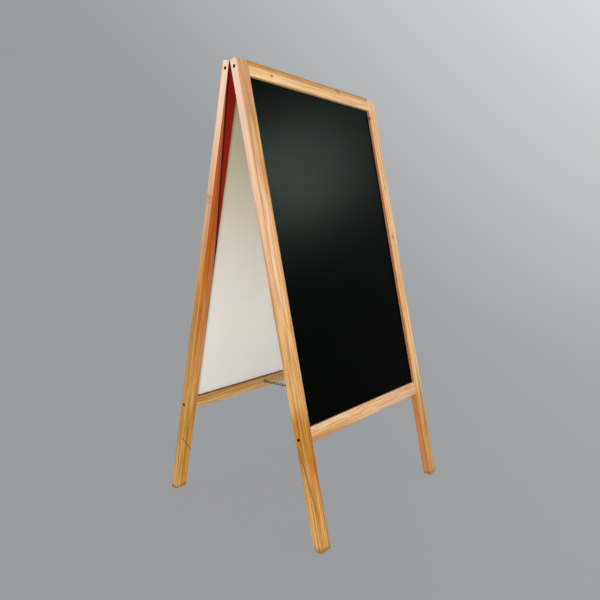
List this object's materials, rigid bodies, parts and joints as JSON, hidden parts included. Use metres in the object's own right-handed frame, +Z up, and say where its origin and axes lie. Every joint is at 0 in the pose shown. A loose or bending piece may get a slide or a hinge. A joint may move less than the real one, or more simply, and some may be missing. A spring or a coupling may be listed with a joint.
{
  "type": "sandwich board",
  "caption": "Folding wooden A-frame chalkboard: two equal framed writing panels on legs, hinged along their top rails and held open by a short chain.",
  "frame": {"origin": "on the floor, at the centre of the footprint of the opened board", "axes": "+Z up, +X to the right seen from the front, -Y towards the viewer of the front chalk face; the hinge line runs along X above the origin"},
  "size_m": [0.6, 0.5794, 1.1829],
  "materials": {
    "pine": "clear orange varnish, satin",
    "chalk_surface": "matte black writing surface",
    "white_board": "hardboard with a smooth white face",
    "hinge_steel": "zinc plated, slightly dulled",
    "screw_steel": "zinc plated, dulled",
    "chain_steel": "dark weathered zinc"
  },
  "bodies": {
    "front_frame": {"front_left_stile": "pine", "front_right_stile": "pine", "front_top_rail": "pine", "front_bottom_rail": "pine", "front_chalk_face": "chalk_surface", "front_backing_panel": "white_board", "front_frame_screws": "screw_steel", "front_hinge_screws": "screw_steel", "front_chain_eye": "chain_steel", "left_hinge_front_leaf": "hinge_steel", "right_hinge_front_leaf": "hinge_steel", "left_hinge_pin": "hinge_steel", "right_hinge_pin": "hinge_steel"},
    "back_frame": {"back_left_stile": "pine", "back_right_stile": "pine", "back_top_rail": "pine", "back_bottom_rail": "pine", "back_chalk_face": "chalk_surface", "back_backing_panel": "white_board", "back_frame_screws": "screw_steel", "back_hinge_screws": "screw_steel", "back_chain_eye": "chain_steel", "left_hinge_back_leaf": "hinge_steel", "right_hinge_back_leaf": "hinge_steel"},
    "front_chain": {"chain_front_half": "chain_steel"},
    "back_chain": {"chain_back_half": "chain_steel"}
  },
  "joints": [
    {"name": "fold", "type": "hinge", "parent": "front_frame", "child": "back_frame", "pos_m": [0, 0, 1.17915], "axis": [-1, 0, 0], "range_deg": [0, 24.5]},
    {"name": "front_chain_swing", "type": "hinge", "parent": "front_frame", "child": "front_chain", "pos_m": [0.034, -0.19694, 0.27636], "axis": [-1, 0, 0], "range_deg": [0, 102.9]},
    {"name": "back_chain_swing", "type": "hinge", "parent": "back_frame", "child": "back_chain", "pos_m": [0.016, 0.19694, 0.27636], "axis": [1, 0, 0], "range_deg": [0, 102.9]}
  ],
  "couplings": [
    {"joint": "front_chain_swing", "follows": "fold", "ratio": 4.1935},
    {"joint": "back_chain_swing", "follows": "fold", "ratio": 4.1935}
  ]
}
